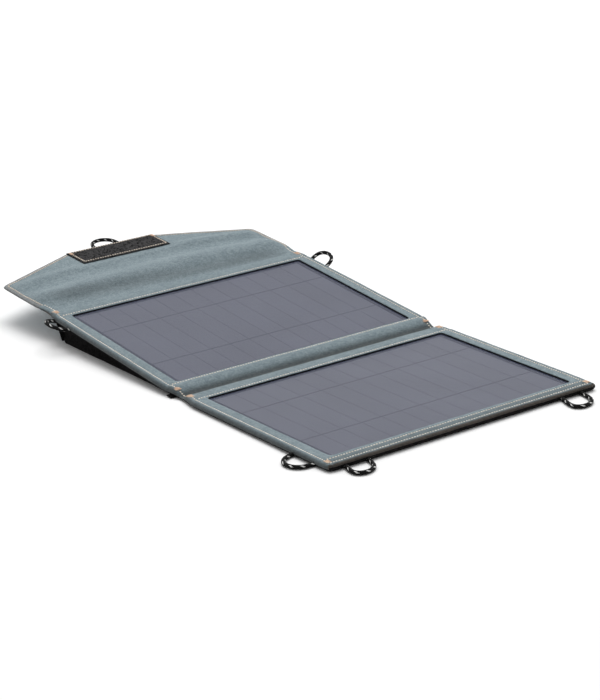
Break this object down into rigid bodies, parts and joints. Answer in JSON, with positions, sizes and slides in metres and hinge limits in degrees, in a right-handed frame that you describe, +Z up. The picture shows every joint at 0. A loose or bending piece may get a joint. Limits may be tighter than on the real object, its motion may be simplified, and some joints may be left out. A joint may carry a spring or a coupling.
{
  "type": "folding solar panel",
  "caption": "Folding fabric solar charger: hinged cell panels, a closing flap with a hook patch, a rear pocket with a USB regulator, and cord loops round the edges.",
  "frame": {"origin": "middle of the charger's box on the ground, loops left out", "axes": "+X along the folds, +Y from the front panel towards the closing flap, +Z up from the ground"},
  "size_m": [0.3136, 0.5614, 0.035],
  "materials": {
    "cord": "braided nylon cord, black with pale flecks",
    "solar_cell": "dark blue-black silicon, satin",
    "tinned_ribbon": "tinned copper",
    "clear_film": "satin clear laminating film",
    "backsheet": "dark backing plate",
    "stiffener_board": "stiff plastic sheet",
    "black_trim": "black edging",
    "binding_tape": "woven grey edge fabric, rolled over the edge",
    "grey_fabric": "woven teal-grey polyester",
    "black_fabric": "woven black polyester",
    "hook_tape": "hook fastener tape",
    "loop_tape": "soft loop fastener tape",
    "wire_insulation": "flat two-core lead",
    "case_plastic": "moulded black plastic",
    "circuit_board": "green circuit board",
    "foam_tape": "double-sided foam tape",
    "socket_steel": "plated steel shell",
    "socket_plastic": "moulded contact carrier",
    "lens": "clear red indicator lens"
  },
  "bodies": {
    "rear_panel": {"rear_panel_back_cover": "black_fabric", "rear_panel_face_cover": "grey_fabric", "rear_panel_edge_binding": "binding_tape", "rear_panel_stiffener": "stiffener_board", "rear_panel_backing_plate": "backsheet", "rear_panel_cells": "solar_cell", "rear_panel_ribbons": "tinned_ribbon", "rear_panel_top_film": "clear_film", "rear_panel_window_trim": "black_trim", "rear_panel_lead": "wire_insulation", "fold_web": "grey_fabric", "fold_lead": "wire_insulation", "flap_web": "grey_fabric", "pocket_shell": "black_fabric", "pocket_loop_strip": "loop_tape", "regulator_case_upper": "case_plastic", "regulator_case_lower": "case_plastic", "regulator_circuit_board": "circuit_board", "regulator_adhesive_pad": "foam_tape", "usb_shell_left": "socket_steel", "usb_shell_right": "socket_steel", "usb_tongue_left": "socket_plastic", "usb_tongue_right": "socket_plastic", "regulator_indicator_lens": "lens"},
    "front_panel": {"front_panel_back_cover": "black_fabric", "front_panel_face_cover": "grey_fabric", "front_panel_edge_binding": "binding_tape", "front_panel_stiffener": "stiffener_board", "front_panel_backing_plate": "backsheet", "front_panel_cells": "solar_cell", "front_panel_ribbons": "tinned_ribbon", "front_panel_top_film": "clear_film", "front_panel_window_trim": "black_trim", "front_panel_lead": "wire_insulation", "front_panel_loop_patch": "loop_tape"},
    "flap": {"flap_back_cover": "grey_fabric", "flap_stiffener": "stiffener_board", "flap_face_cover": "grey_fabric", "flap_edge_binding": "binding_tape", "flap_hook_patch": "hook_tape"},
    "pocket_closure": {"closure_cover": "black_fabric", "closure_hook_strip": "hook_tape"},
    "front_left_loop": {"front_left_loop": "cord"},
    "front_right_loop": {"front_right_loop": "cord"},
    "left_front_loop": {"left_front_loop": "cord"},
    "left_rear_loop": {"left_rear_loop": "cord"},
    "right_rear_loop": {"right_rear_loop": "cord"},
    "flap_loop": {"flap_loop": "cord"}
  },
  "joints": [
    {"name": "fold", "type": "hinge", "parent": "rear_panel", "child": "front_panel", "pos_m": [0, -0.05725, 0.0065], "axis": [-1, 0, 0], "range_deg": [-45, 174], "deforming": ["fold_web", "fold_lead"]},
    {"name": "flap_fold", "type": "hinge", "parent": "rear_panel", "child": "flap", "pos_m": [0, 0.14932, 0.03114], "axis": [1, 0, 0], "range_deg": [-60, 181], "deforming": ["flap_web"]},
    {"name": "pocket_opening", "type": "hinge", "parent": "rear_panel", "child": "pocket_closure", "pos_m": [0, 0.14032, 0.01861], "axis": [1, 0, 0], "range_deg": [0, 95]},
    {"name": "front_left_loop_swing", "type": "hinge", "parent": "front_panel", "child": "front_left_loop", "pos_m": [-0.112, -0.25875, 0.00175], "axis": [-1, 0, 0], "range_deg": [-80, 150], "stiffness_Nm_per_rad": 0.004, "deforming": ["front_left_loop"]},
    {"name": "front_right_loop_swing", "type": "hinge", "parent": "front_panel", "child": "front_right_loop", "pos_m": [0.11, -0.25875, 0.00175], "axis": [-1, 0, 0], "range_deg": [-80, 150], "stiffness_Nm_per_rad": 0.004, "deforming": ["front_right_loop"]},
    {"name": "left_front_loop_swing", "type": "hinge", "parent": "front_panel", "child": "left_front_loop", "pos_m": [-0.139, -0.22645, 0.00175], "axis": [0, 1, 0], "range_deg": [-80, 150], "stiffness_Nm_per_rad": 0.004, "deforming": ["left_front_loop"]},
    {"name": "left_rear_loop_swing", "type": "hinge", "parent": "rear_panel", "child": "left_rear_loop", "pos_m": [-0.139, 0.12004, 0.01942], "axis": [0, 0.9951, 0.0993], "range_deg": [-80, 150], "stiffness_Nm_per_rad": 0.004, "deforming": ["left_rear_loop"]},
    {"name": "right_rear_loop_swing", "type": "hinge", "parent": "rear_panel", "child": "right_rear_loop", "pos_m": [0.139, 0.11636, 0.01905], "axis": [0, -0.9951, -0.0993], "range_deg": [-80, 150], "stiffness_Nm_per_rad": 0.004, "deforming": ["right_rear_loop"]},
    {"name": "flap_loop_swing", "type": "hinge", "parent": "flap", "child": "flap_loop", "pos_m": [-0.0017, 0.25865, 0.03211], "axis": [1, 0, 0], "range_deg": [-80, 150], "stiffness_Nm_per_rad": 0.004, "deforming": ["flap_loop"]}
  ]
}
